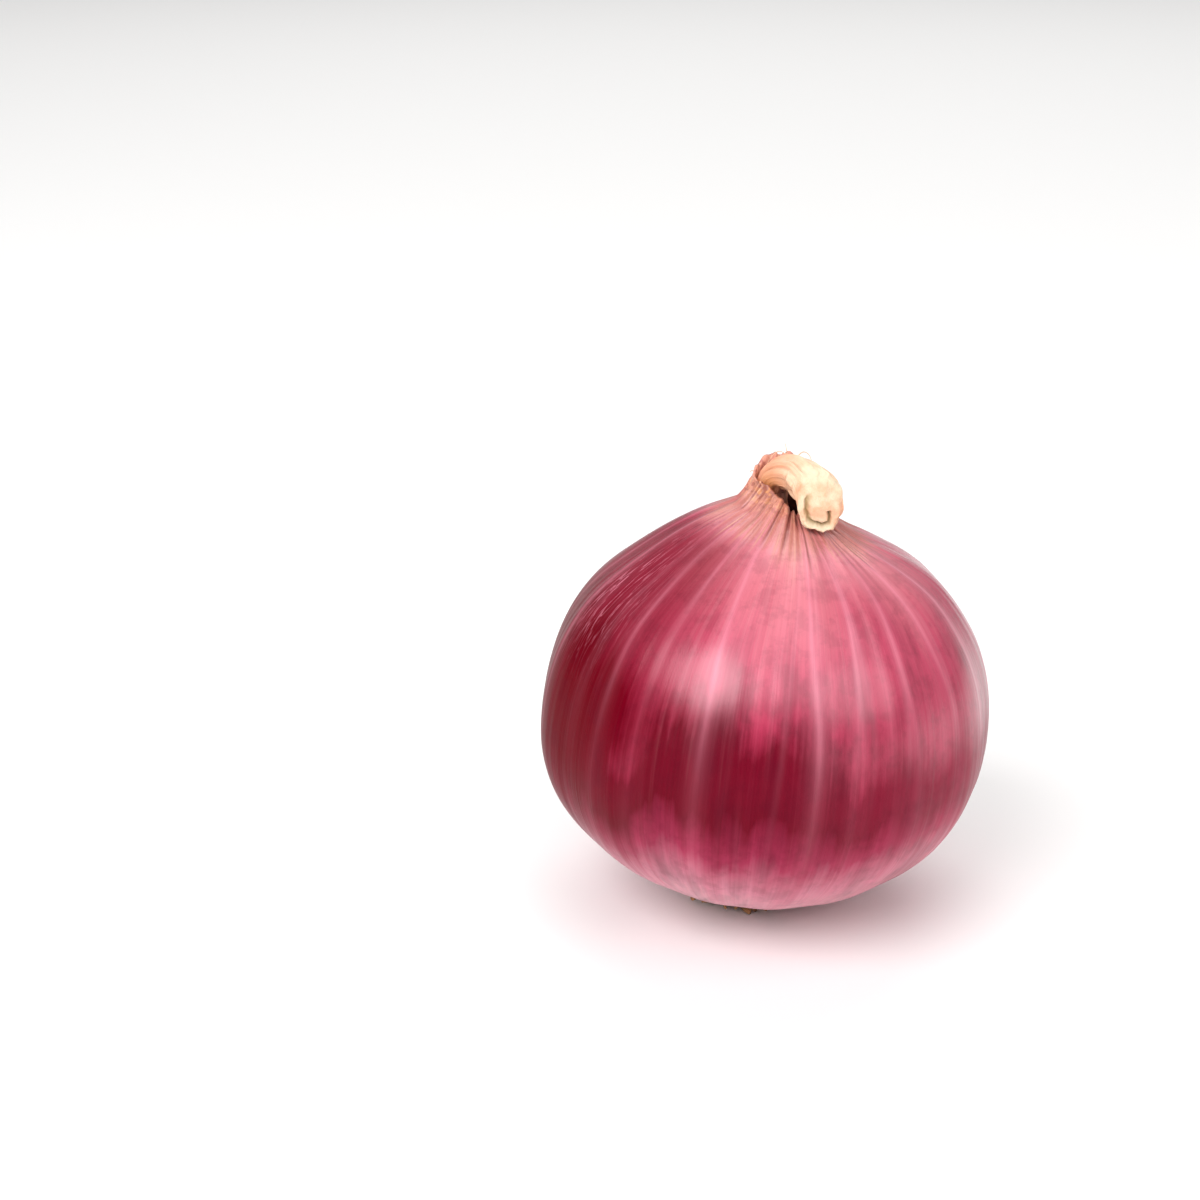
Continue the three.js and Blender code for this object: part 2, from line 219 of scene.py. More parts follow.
# Loose fibres of the torn skin: points that each one passes through
LOOSE_FIBRES = (
    ((-3.4, 2.6, 70.4), (-2.6, 2.5, 72.5), (-1.5, 2.0, 73.5), (-0.1, 0.5, 73.3)),
    ((-0.2, 0.5, 72.9), (-0.4, 0.5, 73.7), (-0.6, 0.5, 74.4), (-0.8, 0.5, 75.2)),
    ((1.1, 0.5, 73.2), (2.0, 1.0, 74.0), (3.0, 1.0, 73.6), (3.7, 0.0, 72.3)),
    ((1.6, 4.2, 69.0), (1.9, 4.8, 70.4), (2.5, 5.2, 71.3), (3.4, 5.1, 71.2)),
    ((-4.2, 2.4, 68.4), (-4.9, 2.6, 69.5), (-5.4, 2.5, 69.9), (-5.8, 2.1, 69.7)),
)
FIBRE_RADIUS = 0.1
FIBRE_TAPER = 0.6
FIBRE_STEPS = 12
FIBRE_SIDES = 6

# Root tuft: the plate's outline as radius and height, and the ranges that each root is drawn from
PLATE_RADIUS = 7.4
PLATE_TOP = 4.2
PLATE_COLUMNS = 96
FOOT_RADIUS = 4.6
PLATE_OUTLINE = np.array([
    (0.5, 0.6), (2.5, 0.6), (FOOT_RADIUS, 0.8), (6.0, 1.1), (7.0, 1.5), (PLATE_RADIUS, 2.7),
    (PLATE_RADIUS - 0.3, PLATE_TOP), (3.0, PLATE_TOP),
])
PLATE_RIPPLE_DEPTH = 0.02
PLATE_RIPPLES = (41, (3, 14), 1)
ROOT_SHADE = 0.8
FOOT_STUB_COUNT = 70
FOOT_STUB_TOP = 1.5
FOOT_STUB_LEAN = 0.4
FOOT_STUB_RADII, FOOT_STUB_TAPER = (0.36, 0.5), 0.1
STUB_COUNT = 150
STUB_STEPS = 6
STUB_SIDES = 7
STUB_SEED = 20
STUB_START, STUB_START_SPREAD = 4.3, 2.3
STUB_LENGTHS = (2.0, 4.6)
STUB_TURN = 0.3
STUB_TOP, STUB_DROOP = 1.7, 1.3
STUB_TIP, STUB_TIP_SPREAD = 0.05, 0.4
STUB_RADII, STUB_TAPER = (0.32, 0.6), 0.35

# Camera: the photograph's frame in pixels, and where in it the middle of the bulb stands
PHOTO_SIZE = 1200
ONION_PIXEL = (747.7, 711.6)
ONION_MIDDLE = 31.0
VIEW_ELEVATION = math.radians(22)
VIEW_DISTANCE = 372.0
LENS = 70.0
SENSOR = 36.0
CLIP_RANGE = (0.01, 50)

# Soft boxes: name, azimuth and elevation in degrees, distance and size in metres, watts, aim behind
SOFT_BOXES = (
    ("overhead", 18, 58, 1.3, (2.0, 1.4), 9, 0.0),
    ("key_left", -40, 40, 1.1, (1.05, 0.75), 9.5, 0.0),
    ("glint_right", 52, 28, 1.2, (0.8, 0.6), 2.4, 0.0),
    ("backdrop", 180, 80, 1.6, (2.0, 1.6), 18, 1.0),
)
SURROUND_STRENGTH = 0.35
FLOOR_HALF = 6.0


# Shapes in numbers

def smoothstep(low, high, value):
    """Smooth ramp from 0 at low to 1 at high."""
    share = np.clip((value - low) / (high - low), 0, 1)
    return share * share * (3 - 2 * share)


def bezier(controls, steps):
    """Points of a Bezier curve by repeated linear mixing of its control points."""
    share = np.linspace(0, 1, steps)[:, None, None]
    points = np.broadcast_to(np.array(controls), (steps, len(controls), 2))
    while points.shape[1] > 1:
        points = points[:, :-1] * (1 - share) + points[:, 1:] * share
    return points[:, 0]


def spline(stations, share):
    """Smooth curve through the stations: each span is the cubic that also leans on its two neighbours."""
    ends = [2 * stations[0] - stations[1]], [2 * stations[-1] - stations[-2]]
    padded = np.concatenate([ends[0], stations, ends[1]])
    place = np.clip(share, 0, 1) * (len(stations) - 1)
    first = np.minimum(place.astype(int), len(stations) - 2)
    way = (place - first)[:, None]
    before, start, end, after = (padded[first + step] for step in range(4))
    bow = 2 * before - 5 * start + 4 * end - after
    sway = 3 * (start - end) + after - before
    return 0.5 * (2 * start + (end - before) * way + bow * way**2 + sway * way**3)


def ripple(angle, along, seed, crests, turns, waves=14):
    """Sum of seeded cosine waves, each with a whole number of crests around and some turns along."""
    random = np.random.default_rng(seed)
    total = np.zeros(np.broadcast(angle, along).shape)
    for _ in range(waves):
        around = int(random.integers(crests[0], crests[1]))
        lengthwise = random.uniform(-turns, turns)
        phase = random.uniform(0, 2 * math.pi)
        total += np.cos(around * angle + 2 * math.pi * lengthwise * along + phase)
    return total / math.sqrt(waves / 2)


def turn_between(angle, other):
    """Signed angle from other to angle, between minus and plus half a turn."""
    return np.angle(np.exp(1j * (angle - other)))


def leaned(points):
    """Points of the leaning frame in millimetres, turned about Y by the lean and given in metres."""
    x, y, z = np.moveaxis(np.asarray(points), -1, 0)
    turned = (x * math.cos(LEAN) + z * math.sin(LEAN), y, z * math.cos(LEAN) - x * math.sin(LEAN))
    return np.stack(turned, -1) * MM


# Meshes

def rings_object(name, rings, masks=None):
    """Closed skin over rings of points (rows, columns, 3): quads between rows and a fan on each end row.

    masks maps attribute names to (rows, columns) numbers or (rows, columns, 3) vectors.
    """
    rows, columns = rings.shape[:2]
    hubs = np.stack([rings[0].mean(0), rings[-1].mean(0)])
    vertices = np.concatenate([rings.reshape(-1, 3), hubs])
    row, column = np.meshgrid(np.arange(rows - 1), np.arange(columns), indexing="ij")
    after = (column + 1) % columns
    corners = [row * columns + column, row * columns + after]
    corners += [(row + 1) * columns + after, (row + 1) * columns + column]
    quads = np.stack(corners, -1).reshape(-1, 4).tolist()
    side = np.arange(columns)
    follow = (side + 1) % columns
    last = (rows - 1) * columns
    first_fan = np.stack([follow, side, np.full(columns, rows * columns)], -1).tolist()
    last_fan = np.stack([last + side, last + follow, np.full(columns, rows * columns + 1)], -1).tolist()
    mesh = bpy.data.meshes.new(name)
    mesh.from_pydata(vertices, [], quads + first_fan + last_fan)
    for label, mask in (masks or {}).items():
        kind, field = ("FLOAT_VECTOR", "vector") if mask.ndim == 3 else ("FLOAT", "value")
        flat = mask.reshape(rows * columns, -1)
        whole = np.concatenate([flat, mask[0].mean(0).reshape(1, -1), mask[-1].mean(0).reshape(1, -1)])
        mesh.attributes.new(label, kind, "POINT").data.foreach_set(field, whole.ravel())
    return finished(name, mesh)


def finished(name, mesh):
    """Object of a mesh, smooth, at the origin of the frame."""
    mesh.polygons.foreach_set("use_smooth", np.ones(len(mesh.polygons), bool))
    mesh.update()
    piece = bpy.data.objects.new(name, mesh)
    bpy.context.scene.collection.objects.link(piece)
    return piece


def tubes_object(name, paths, radii, sides, masks=None):
    """Many tapered tubes in one mesh: paths (tubes, steps, 3) in metres carry round sections of the radii.

    masks maps attribute names to (tubes, steps) numbers.
    """
    count, steps = paths.shape[:2]
    forward = np.gradient(paths, axis=1)
    forward /= np.linalg.norm(forward, axis=-1, keepdims=True)
    helper = np.where(np.abs(forward[..., 2:]) < 0.9, [0, 0, 1], [1, 0, 0])
    across = np.cross(helper, forward)
    across /= np.linalg.norm(across, axis=-1, keepdims=True)
    upward = np.cross(forward, across)
    angle = np.linspace(0, 2 * math.pi, sides, endpoint=False)[:, None]
    ring = np.cos(angle) * across[:, :, None] + np.sin(angle) * upward[:, :, None]
    points = paths[:, :, None] + ring * radii[:, :, None, None]
    tube, step, side = np.meshgrid(np.arange(count), np.arange(steps - 1), np.arange(sides), indexing="ij")
    base = (tube * steps + step) * sides
    after = (side + 1) % sides
    corners = [base + side, base + after, base + sides + after, base + sides + side]
    faces = np.stack(corners, -1).reshape(-1, 4).tolist()
    starts = np.arange(count)[:, None] * steps * sides
    faces += (starts + np.arange(sides)[::-1]).tolist()
    faces += (starts + (steps - 1) * sides + np.arange(sides)).tolist()
    mesh = bpy.data.meshes.new(name)
    mesh.from_pydata(points.reshape(-1, 3), [], faces)
    for label, mask in (masks or {}).items():
        spread = np.repeat(mask.reshape(-1), sides)
        mesh.attributes.new(label, "FLOAT", "POINT").data.foreach_set("value", spread)
    return finished(name, mesh)


# Finishes

def srgb(red, green, blue):
    """Linear colour of a paint given as screen values from 0 to 255."""
    value = np.array([red, green, blue]) / 255
    linear = np.where(value <= 0.04045, value / 12.92, ((value + 0.055) / 1.055) ** 2.4)
    return (*linear.tolist(), 1.0)


class Finish:
    """A node material under construction: each method adds a node and returns its output socket."""

    def __init__(self, name, **constants):
        self.material = bpy.data.materials.new(name)
        self.material.use_nodes = True
        self.tree = self.material.node_tree
        self.shader = self.tree.nodes["Principled BSDF"]
        for socket, value in constants.items():
            self.shader.inputs[socket.replace("_", " ")].default_value = value

    def add(self, kind, inputs, output=0, **settings):
        node = self.tree.nodes.new("ShaderNode" + kind)
        for key, value in settings.items():
            setattr(node, key, value)
        for key, value in inputs.items():
            self.feed(node.inputs[key], value)
        return node.outputs[output]

    def feed(self, socket, value):
        if isinstance(value, bpy.types.NodeSocket):
            self.tree.links.new(value, socket)
        else:
            socket.default_value = value

    def mask(self, name):
        return self.add("Attribute", {}, "Fac", attribute_name=name)

    def vector(self, name):
        return self.add("Attribute", {}, "Vector", attribute_name=name)

    def place(self):
        return self.add("TexCoord", {}, "Object")

    def stretch(self, vector, scale):
        return self.add("VectorMath", {0: vector, 1: scale}, operation="MULTIPLY")

    def noise(self, vector, scale, detail=3.0, roughness=0.5):
        inputs = {"Vector": vector, "Scale": scale, "Detail": detail, "Roughness": roughness}
        return self.add("TexNoise", inputs)

    def math(self, operation, first, second=0.0, clamp=False):
        return self.add("Math", {0: first, 1: second}, operation=operation, use_clamp=clamp)

    def between(self, value, low, high, out_low=0.0, out_high=1.0):
        inputs = {"Value": value, "From Min": low, "From Max": high, "To Min": out_low, "To Max": out_high}
        return self.add("MapRange", inputs, interpolation_type="SMOOTHSTEP")

    def mix(self, share, first, second, blend="MIX"):
        return self.add("Mix", {0: share, 6: first, 7: second}, 2, data_type="RGBA", blend_type=blend)

    def ramp(self, value, *stops):
        node = self.tree.nodes.new("ShaderNodeValToRGB")
        self.feed(node.inputs[0], value)
        stop_list = node.color_ramp.elements
        while len(stop_list) < len(stops):
            stop_list.new(0.5)
        for element, (position, colour) in zip(stop_list, stops):
            element.position = position
            element.color = colour
        return node.outputs[0]

    def bump(self, height, distance, strength=1.0, normal=None):
        inputs = {"Height": height, "Distance": distance, "Strength": strength}
        if normal is not None:
            inputs["Normal"] = normal
        return self.add("Bump", inputs)

    def finish(self, colour, roughness, normal):
        self.feed(self.shader.inputs["Base Color"], colour)
        self.feed(self.shader.inputs["Roughness"], roughness)
        self.feed(self.shader.inputs["Normal"], normal)
        return self.material


# Paints; the skin's bands are given by their place from base to crown. The dark belt, the pale upper half
# and the pale base are partly the skin's own colour and partly painted light: painted shade on the belt,
# painted sheen above it and a painted reflection of the floor on the base
WINE = srgb(84, 0, 24)
SKIN_AND_PAINTED_LIGHT_BY_HEIGHT = (
    (0.0, srgb(230, 180, 186)),
    (0.13, srgb(226, 166, 178)),
    (0.24, srgb(208, 124, 144)),
    (0.34, srgb(158, 46, 76)),
    (0.43, srgb(100, 0, 23)),
    (0.52, srgb(106, 0, 27)),
    (0.6, srgb(170, 40, 74)),
    (0.71, srgb(186, 60, 90)),
    (0.92, srgb(210, 114, 126)),
    (1.0, srgb(218, 140, 136)),
)
SHADE_RED = srgb(100, 0, 14)
VEIN_PINK = srgb(230, 138, 158)
LIT_SIDE_PINK = srgb(204, 66, 100)
ROSY_GLOSS = srgb(255, 190, 204)
CROWN_PINK = srgb(182, 106, 92)
STRAW = srgb(222, 178, 132)
PEACH = srgb(232, 160, 128)
CREAM = srgb(230, 186, 152)
IVORY = srgb(234, 212, 182)
AMBER = srgb(204, 128, 56)
TAN = srgb(196, 140, 96)
BARK = srgb(122, 54, 28)
CREASE_SHADE_BROWN = srgb(104, 40, 36)
WELL_SHADE_BROWN = srgb(70, 32, 22)
DRY_ROSE = srgb(156, 84, 74)
DRY_BLUSH = srgb(212, 148, 124)
OLIVE = srgb(150, 124, 76)
ROOT_STRAW = srgb(188, 142, 94)
ROOT_BROWN = srgb(82, 48, 28)


def skin_finish():
    """Crimson skin: streaks that run from pole to pole, pale veins, a dark belt and a pink crown and base
    that are partly painted shade, sheen and floor reflection, dry lip.
    """
    skin = Finish("red_onion_skin", Specular_Tint=ROSY_GLOSS, Coat_Roughness=0.26)
    around = skin.vector("around")
    share = skin.mask("share")
    vein = skin.mask("vein")
    dry = skin.mask("dryness")
    scuff = skin.mask("scuff")
    crease = skin.mask("crease")
    broad = skin.noise(skin.stretch(around, (2.2, 2.2, 1.6)), 1.0, 3.0)
    mottle = skin.noise(skin.stretch(around, (4.0, 4.0, 4.0)), 1.0, 4.0, 0.6)
    fine = skin.noise(skin.stretch(around, (30.0, 30.0, 1.6)), 1.0, 3.0, 0.6)
    hair = skin.noise(skin.stretch(around, (100.0, 100.0, 3.0)), 1.0, 2.0)
    fleck = skin.noise(skin.place(), 900.0, 2.0)

    # Bands from base to crown, partly painted light and shade, moved up and down by broad, fine and mottled
    # drift
    drift = skin.between(broad, 0.3, 0.7, -0.042, 0.042)
    drift = skin.math("ADD", drift, skin.between(fine, 0.3, 0.7, -0.012, 0.012))
    drift = skin.math("ADD", drift, skin.between(mottle, 0.3, 0.7, -0.028, 0.028))
    tone = skin.math("ADD", skin.mask("tone"), drift)
    colour = skin.ramp(tone, *SKIN_AND_PAINTED_LIGHT_BY_HEIGHT)
    in_belt = skin.between(share, 0.85, 0.6, 0.1, 0.5)
    colour = skin.mix(skin.math("MULTIPLY", skin.between(mottle, 0.52, 0.35), in_belt), colour, WINE)
    # Painted shade: the shaded side goes darker and deeper red
    deep = skin.mask("deep")
    colour = skin.mix(skin.math("MULTIPLY", deep, 0.7), colour, SHADE_RED)
    # Painted light: the lit side goes lighter and pinker
    colour = skin.mix(skin.mask("lit_side"), colour, LIT_SIDE_PINK)
    speckle = skin.noise(skin.place(), 300.0, 4.0, 0.65)
    colour = skin.mix(skin.between(speckle, 0.55, 0.35, 0.0, 0.22), colour, WINE)

    # Pale veins and threads, clearer towards the crown
    rise = skin.between(share, 0.45, 0.8, 0.2, 1.0)
    thread = skin.between(fine, 0.5, 0.75, 0.0, 0.06)
    # Veins fade on the side painted in shade
    rise = skin.math("MULTIPLY", rise, skin.between(deep, 0.0, 1.0, 1.0, 0.45))
    pale = skin.math("MULTIPLY", skin.math("ADD", vein, thread, clamp=True), rise)
    colour = skin.mix(pale, colour, VEIN_PINK)

    # Dry crown and lip, with their stain, brown creases that are partly painted shade in the folds, and the
    # well painted dark as shade
    dry_colour = skin.ramp(fine, (0.35, DRY_ROSE), (0.55, CROWN_PINK), (0.75, DRY_BLUSH))
    dry_colour = skin.mix(skin.between(dry, 0.72, 0.95, 0.0, 0.9), dry_colour, PEACH)
    on_lip = skin.between(dry, 0.7, 0.9)
    light_fleck = skin.math("MULTIPLY", on_lip, skin.between(fleck, 0.54, 0.66, 0.0, 0.55))
    dark_fleck = skin.math("MULTIPLY", on_lip, skin.between(fleck, 0.44, 0.34, 0.0, 0.6))
    dry_colour = skin.mix(light_fleck, dry_colour, STRAW)
    dry_colour = skin.mix(dark_fleck, dry_colour, BARK)
    ragged = skin.math("ADD", dry, skin.between(fine, 0.3, 0.7, -0.3, 0.3))
    colour = skin.mix(skin.between(ragged, 0.25, 0.9, 0.0, 0.85), colour, dry_colour)
    stain_colour = skin.mix(skin.between(fleck, 0.48, 0.64), BARK, AMBER)
    colour = skin.mix(skin.mask("stain"), colour, stain_colour)
    # Brown in the creases: partly the dry skin's brown, partly painted shade in the folds
    colour = skin.mix(crease, colour, CREASE_SHADE_BROWN)
    # Painted shade: the well inside the lip is coloured dark brown
    colour = skin.mix(skin.mask("well"), colour, WELL_SHADE_BROWN)

    # Pale crackle on the scuffed patch and dark hairlines all over
    crackle = skin.noise(skin.stretch(around, (26.0, 26.0, 9.0)), 1.0, 3.0)
    from_line = skin.math("ABSOLUTE", skin.math("SUBTRACT", crackle, 0.5))
    line = skin.between(from_line, 0.035, 0.0, 0.0, 0.5)
    colour = skin.mix(skin.math("MULTIPLY", scuff, line), colour, VEIN_PINK)
    colour = skin.mix(skin.between(hair, 0.35, 0.7, 0.0, 0.09), colour, WINE, "MULTIPLY")

    # Gloss above the belt and below it, little of it on the side painted in shade
    sheen = skin.math("ADD", skin.mask("tone"), skin.math("MULTIPLY", drift, 0.4))
    upper = skin.between(sheen, 0.49, 0.62)
    gloss = skin.math("ADD", skin.between(sheen, 0.38, 0.2, 0.12, 0.5), skin.math("MULTIPLY", upper, 0.6))
    shine = skin.between(deep, 0.0, 1.0, 1.0, 0.2)
    skin.feed(skin.shader.inputs["Specular IOR Level"], skin.math("MULTIPLY", gloss, shine))
    streaky = skin.between(fine, 0.35, 0.65, 0.7, 1.0)
    coat = skin.math("MULTIPLY", skin.math("MULTIPLY", upper, streaky), shine)
    skin.feed(skin.shader.inputs["Coat Weight"], coat)
    satin = skin.between(fine, 0.3, 0.7, 0.28, 0.38)
    roughness = skin.math("ADD", satin, skin.math("MULTIPLY", dry, 0.25))
    grain = skin.bump(hair, 0.00005, 0.5)
    streaks = skin.bump(fine, 0.00005, 0.6, grain)
    normal = skin.bump(skin.math("MULTIPLY", fleck, dry), 0.0005, 0.7, streaks)
    return skin.finish(colour, roughness, normal)


def neck_finish():
    """Withered sheath: peach at its foot to ivory at the end, with fine grain, and dark colour painted as
    shade in the creases, the groove and under the bend.
    """
    neck = Finish("dry_neck_straw", Subsurface_Weight=0.1, Subsurface_Radius=(1.0, 0.6, 0.3),
                  Subsurface_Scale=0.001)
    around = neck.vector("around")
    fibre = neck.noise(neck.stretch(around, (4.0, 4.0, 2.0)), 1.0, 4.0, 0.5)
    hair = neck.noise(neck.stretch(around, (24.0, 24.0, 4.0)), 1.0, 3.0)
    blotch = neck.noise(neck.place(), 260.0, 3.0)
    paleness = neck.math("ADD", blotch, neck.mask("tip"))
    colour = neck.ramp(paleness, (0.36, PEACH), (0.5, CREAM), (0.64, IVORY))
    colour = neck.mix(neck.mask("foot"), colour, PEACH)
    colour = neck.mix(neck.between(fibre, 0.52, 0.72, 0.0, 0.28), colour, TAN)
    colour = neck.mix(neck.mask("stain"), colour, AMBER)
    # Painted shade in the groove, the kink and the furrows
    colour = neck.mix(neck.mask("groove"), colour, OLIVE)
    colour = neck.mix(neck.mask("crease"), colour, BARK)
    colour = neck.mix(neck.mask("shade"), colour, CREASE_SHADE_BROWN)
    colour = neck.mix(neck.between(hair, 0.35, 0.7, 0.0, 0.15), colour, TAN, "MULTIPLY")
    normal = neck.bump(hair, 0.00007, 0.8, neck.bump(fibre, 0.0003, 0.7))
    return neck.finish(colour, neck.between(fibre, 0.3, 0.7, 0.6, 0.85), normal)


def root_finish():
    """Dried roots: straw brown, darker towards the plate and blotched."""
    root = Finish("dried_roots")
    depth = root.mask("depth")
    blotch = root.noise(root.place(), 700.0, 4.0, 0.6)
    colour = root.ramp(blotch, (0.3, ROOT_BROWN), (0.55, ROOT_STRAW), (0.75, STRAW))
    colour = root.mix(depth, colour, ROOT_BROWN)
    return root.finish(colour, root.between(blotch, 0.3, 0.7, 0.7, 0.9), root.bump(blotch, 0.0003, 0.8))


# Bulb

def skin_outline():
    """Radius, height and share of the way from root ring to collar, in even steps along the outline."""
    lower = (ROOT_RING, ROOT_RING + ROOT_RING_HANDLE, EQUATOR + BELOW_EQUATOR_HANDLE, EQUATOR)
    upper = (EQUATOR, EQUATOR + ABOVE_EQUATOR_HANDLE, SHOULDER + SHOULDER_HANDLE, SHOULDER)
    crown = (SHOULDER, COLLAR + COLLAR_HANDLE, COLLAR)
    line = np.concatenate([bezier(part, OUTLINE_STEPS) for part in (lower, upper, crown)])
    length = np.concatenate([[0], np.cumsum(np.linalg.norm(np.diff(line, axis=0), axis=1))])
    share = np.linspace(0, 1, SKIN_ROWS)
    radius = np.interp(share * length[-1], length, line[:, 0])
    height = np.interp(share * length[-1], length, line[:, 1])
    return radius[:, None], height[:, None], share[:, None]


def outline_normal(radius, height):
    """Outward and upward parts of the outline's normal, from its steps along the rows."""
    outward, upward = np.gradient(height, axis=0), -np.gradient(radius, axis=0)
    length = np.hypot(outward, upward)
    return outward / length, upward / length


def pleat(angle):
    """Pleats of the gathered skin: a wandering cosine round the axis, with finer uneven ones over it."""
    even = EVEN_PLEATS * PLEAT_DEPTH * np.cos(PLEAT_COUNT * angle + RIB_WANDER * np.sin(2 * angle))
    return even + FINE_PLEAT_DEPTH * ripple(angle, 0 * angle, *FINE_PLEATS)


def creases(angle, height):
    """Narrow seeded creases between the pleats: bell curves across, each from its own height to the lip."""
    random = np.random.default_rng(CREASE_SEED)
    total = np.zeros(np.broadcast(angle, height).shape)
    for _ in range(CREASE_COUNT):
        middle, begin = random.uniform(-math.pi, math.pi), random.uniform(*CREASE_STARTS)
        depth = random.uniform(0.4, 1.0) * smoothstep(begin, begin + CREASE_RUN, height)
        total += depth * np.exp(-((turn_between(angle, middle) / CREASE_WIDTH) ** 2))
    return np.clip(total, 0, 1)


def vein_mask(angle, share):
    """Pale veins along the meridians, each a narrow core in a halo: soft below, crisper above.

    Every vein drifts, wavers and fades along its way, and faint short ones lie between them.
    """
    random = np.random.default_rng(VEIN_SEED)
    veins = list(FRONT_VEINS)
    for middle in range(BACK_VEIN_START, BACK_VEIN_END, BACK_VEIN_STEP):
        place = middle + random.uniform(-BACK_VEIN_SCATTER, BACK_VEIN_SCATTER)
        veins.append((place, random.uniform(0.4, 1.0)))
    total = np.zeros(np.broadcast(angle, share).shape)
    crisp = smoothstep(*VEIN_CRISP_FROM, share)
    for middle, strength in veins:
        drift = VEIN_DRIFT * random.uniform(-0.2, 1.0) * (0.5 - share)
        waver = VEIN_WAVER * np.sin(2 * math.pi * (VEIN_WAVES * share + random.uniform()))
        away = turn_between(angle, math.radians(middle) + drift + waver)
        fade = 0.7 + 0.3 * np.sin(2 * math.pi * (random.uniform(0.5, 1.2) * share + random.uniform()))
        core = np.exp(-((away / VEIN_WIDTH) ** 2)) * (SOFT_CORE + CRISP_CORE_GAIN * crisp)
        halo = np.exp(-((away / VEIN_HALO) ** 2)) * (SOFT_HALO - CRISP_HALO_LOSS * crisp)
        total += strength * fade * (core + halo)
    for _ in range(MINOR_VEINS):
        middle, begin = random.uniform(-math.pi, math.pi), random.uniform(-0.3, 0.7)
        end = begin + random.uniform(0.3, 0.8)
        waver = MINOR_VEIN_WAVER * np.sin(2 * math.pi * (VEIN_WAVES * share + random.uniform()))
        away = turn_between(angle, middle + waver)
        window = smoothstep(begin, begin + MINOR_VEIN_FADE, share)
        window = window * smoothstep(end, end - MINOR_VEIN_FADE, share)
        total += random.uniform(0.04, 0.16) * window * np.exp(-((away / VEIN_WIDTH) ** 2))
    return np.clip(total, 0, 1)


def facing(angle, middle, sharpness):
    """Raised cosine to a power: one at the middle angle, falling smoothly to nothing on the far side."""
    return (0.5 + 0.5 * np.cos(angle - middle)) ** sharpness


def shaded_side_mask(angle, share):
    """One on the side painted in shade, darker and deeper red, and nothing beyond its spread, which is
    wider above the belt.
    """
    low, high = SHADED_SIDE_SPREAD
    spread = low + (high - low) * smoothstep(0.4, 0.65, share)
    away = np.abs(turn_between(angle, SHADED_SIDE))
    upright = smoothstep(0.1, 0.35, share) * smoothstep(1.0, 0.88, share)
    return smoothstep(spread, spread - SHADED_SIDE_EDGE, away) * upright


def tone_mask(angle, share, deep):
    """Place on the colour scale from base to crown: the share of the way up, less some drops.

    It is less where the belt climbs on the side painted in shade and at two places on the front, where the
    belt is painted darker; above the belt away from the front, which leaves the front paler as painted
    sheen; and near the base, where the pale colour reaches higher as a painted reflection of the floor.
    """
    beside_front = 1 - facing(angle, PALE_FRONT, 4)
    above = smoothstep(0.55, 0.7, share) * smoothstep(1.0, 0.9, share)
    climb = SHADED_SIDE_LIFT * deep * smoothstep(0.45, 0.6, share) + PALE_FRONT_LIFT * beside_front * above
    over_belt = smoothstep(0.48, 0.55, share) * smoothstep(0.7, 0.58, share)
    for middle, drop in HIGH_BELT:
        climb = climb + drop * facing(angle, middle, HIGH_BELT_SHARPNESS) * over_belt
    return share - climb - PALE_BASE_DROP * facing(angle, PALE_BASE, 6) * smoothstep(0.5, 0.3, share)


def lip_crest(angle):
    """Radius and rise of the torn lip: low in front, curled up beside the neck, tall behind, wavering."""
    to_back = facing(angle, LIP_BACK, 3)
    tear = LIP_TEAR_DEPTH * np.cos(LIP_TEARS * angle + 1) * to_back
    tear += LIP_RAG_DEPTH * ripple(angle, 0 * angle, *LIP_RAGS)
    radius = LIP_RADIUS + LIP_FLARE * facing(angle, LIP_FLARE_AT, 3)
    curl = facing(angle, LIP_CURL_AT, 12)
    radius = radius - LIP_PINCH * facing(angle, LIP_PINCH_AT, 2) - LIP_CURL_IN * curl
    rise = LIP_LOW_RISE + (LIP_HIGH_RISE - LIP_LOW_RISE) * to_back + LIP_CURL * curl
    return radius, rise - LIP_DIP * facing(angle, LIP_DIP_AT, 16) + tear


def scuff_mask(angle, height):
    """Soft oval patch of crinkled skin: a bell curve of the angle and the height from its middle."""
    sideways = turn_between(angle, SCUFF_ANGLE) / SCUFF_SPREAD[0]
    upward = (height - SCUFF_HEIGHT) / SCUFF_SPREAD[1]
    return np.exp(-(sideways**2 + upward**2))


def stain_mask(points):
    """Soft round stain: a bell curve of the distance from its middle."""
    return STAIN_STRENGTH * np.exp(-(((points - STAIN_AT) ** 2).sum(-1)) / STAIN_SPREAD**2)


